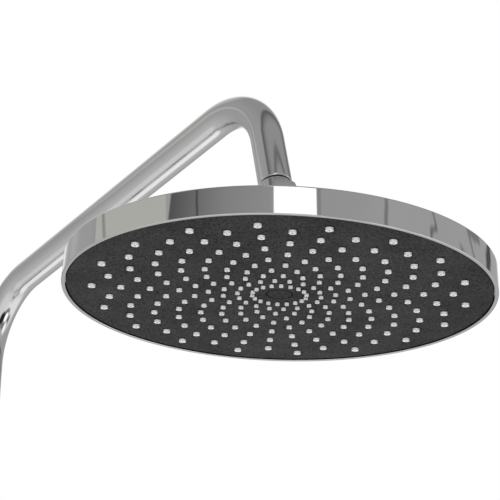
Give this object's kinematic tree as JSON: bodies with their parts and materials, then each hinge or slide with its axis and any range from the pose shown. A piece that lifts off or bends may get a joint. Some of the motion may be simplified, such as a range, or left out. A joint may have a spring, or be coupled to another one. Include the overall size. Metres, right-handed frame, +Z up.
{
  "type": "shower column",
  "caption": "Wall-hung tubular shower column: telescopic riser, level arm with a turned-down neck, and a flat round overhead rain shower on a ball joint.",
  "frame": {"origin": "centre of the wall plate's back face, on the wall", "axes": "+Z up along the riser, +Y into the wall, -Y along the arm into the room, +X to the right seen from the room"},
  "size_m": [0.2416, 0.5057, 1.0871],
  "materials": {
    "chrome": "polished chrome plate",
    "charcoal_plastic": "fine satin, charcoal",
    "grey_silicone": "light grey silicone, slightly glossy",
    "white_plastic": "natural white",
    "black_rubber": "matt black",
    "steel": "stainless steel",
    "brass": "plain machined"
  },
  "bodies": {
    "riser": {"lower_riser": "chrome", "riser_collar": "chrome", "collet": "white_plastic", "wall_plate": "steel", "wall_rosette": "chrome", "bracket_post": "chrome", "bracket_clamp": "chrome", "grub_screws": "steel", "tail_ferrule": "chrome", "union_washer": "black_rubber"},
    "slide": {"slide_bush": "white_plastic", "slide_o_rings": "black_rubber"},
    "gooseneck": {"gooseneck_tube": "chrome", "slide_ferrule": "brass", "retaining_ring": "steel", "swivel_o_ring": "black_rubber", "neck_insert": "brass", "flow_limiter": "white_plastic", "filter_washer": "black_rubber", "neck_washer": "black_rubber", "ball_stud": "chrome"},
    "ball_swivel": {"friction_ring": "white_plastic"},
    "ball_tilt": {"ball_seat": "white_plastic", "ball_o_ring": "black_rubber"},
    "head": {"head_cover": "chrome", "spray_face": "charcoal_plastic", "nozzle_mat": "grey_silicone", "chamber_plate": "white_plastic", "chamber_seal": "black_rubber", "chamber_screws": "steel", "inlet_o_ring": "black_rubber", "centre_screw": "steel", "centre_cap": "charcoal_plastic", "ball_nut": "chrome"},
    "clamp_nut": {"clamp_nut": "chrome"},
    "union_nut": {"union_nut": "chrome"}
  },
  "joints": [
    {"name": "riser_height", "type": "slide", "parent": "riser", "child": "slide", "axis": [0, 0, 1], "range_m": [-0.14, 0.08]},
    {"name": "arm_swivel", "type": "hinge", "parent": "slide", "child": "gooseneck", "pos_m": [0, -0.06, 0], "axis": [0, 0, 1], "range_deg": [-70, 70]},
    {"name": "head_swivel", "type": "hinge", "parent": "gooseneck", "child": "ball_swivel", "pos_m": [0, -0.39126, 0.24736], "axis": [0, 0.1994, 0.9799], "continuous": true},
    {"name": "head_tilt", "type": "hinge", "parent": "ball_swivel", "child": "ball_tilt", "pos_m": [0, -0.39126, 0.24736], "axis": [0.9807, -0.1917, 0.039], "range_deg": [-44, 3.5]},
    {"name": "head_spin", "type": "hinge", "parent": "ball_tilt", "child": "head", "pos_m": [0, -0.39126, 0.24736], "axis": [-0.0685, -0.1495, 0.9864], "continuous": true},
    {"name": "clamp_nut_turn", "type": "hinge", "parent": "riser", "child": "clamp_nut", "pos_m": [0, -0.06, 0.12], "axis": [0, 0, 1], "range_deg": [0, 270]},
    {"name": "union_nut_spin", "type": "hinge", "parent": "riser", "child": "union_nut", "pos_m": [0, -0.06, -0.72], "axis": [0, 0, 1], "continuous": true}
  ]
}
